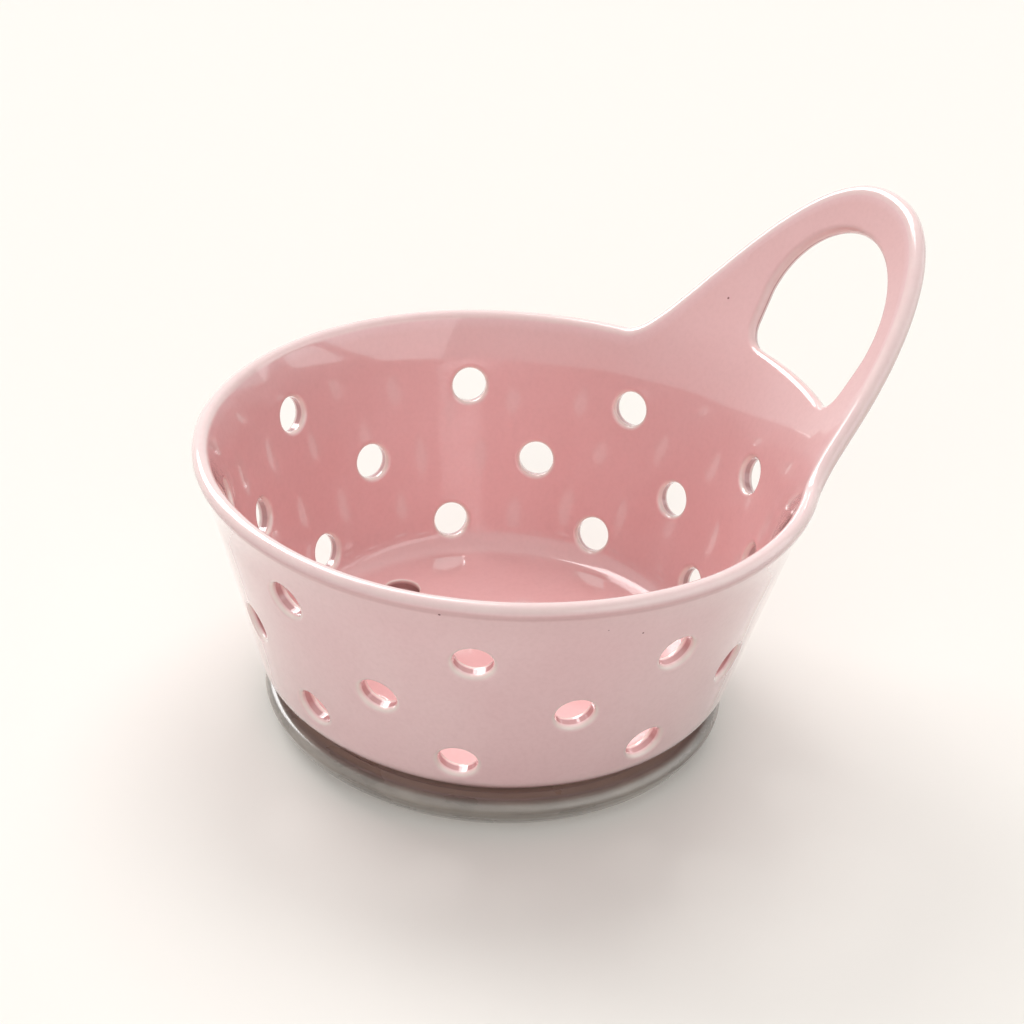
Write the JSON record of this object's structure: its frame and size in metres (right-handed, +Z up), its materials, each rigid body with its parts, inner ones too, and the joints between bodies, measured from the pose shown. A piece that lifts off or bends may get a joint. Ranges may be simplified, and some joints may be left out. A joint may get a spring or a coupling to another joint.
{
  "type": "colander bowl",
  "caption": "Round pierced ceramic bowl with a tall side handle and finger loop, on a shallow drip saucer, for rinsing and draining berries.",
  "frame": {"origin": "on the bowl's axis, on the flat underside of the saucer", "axes": "+Z up along the bowl's axis, +X towards the handle"},
  "size_m": [0.1749, 0.1456, 0.1197],
  "materials": {
    "pink_glaze": "glossy pink glaze, paler where it breaks over the edges",
    "grey_stoneware": "satin grey-brown stoneware"
  },
  "bodies": {
    "saucer": {"drip_saucer": "grey_stoneware"},
    "bowl": {"colander_bowl": "pink_glaze"}
  },
  "joints": [
    {"name": "bowl_lift", "type": "slide", "parent": "saucer", "child": "bowl", "axis": [0, 0, 1], "range_m": [0, 0.05]}
  ]
}
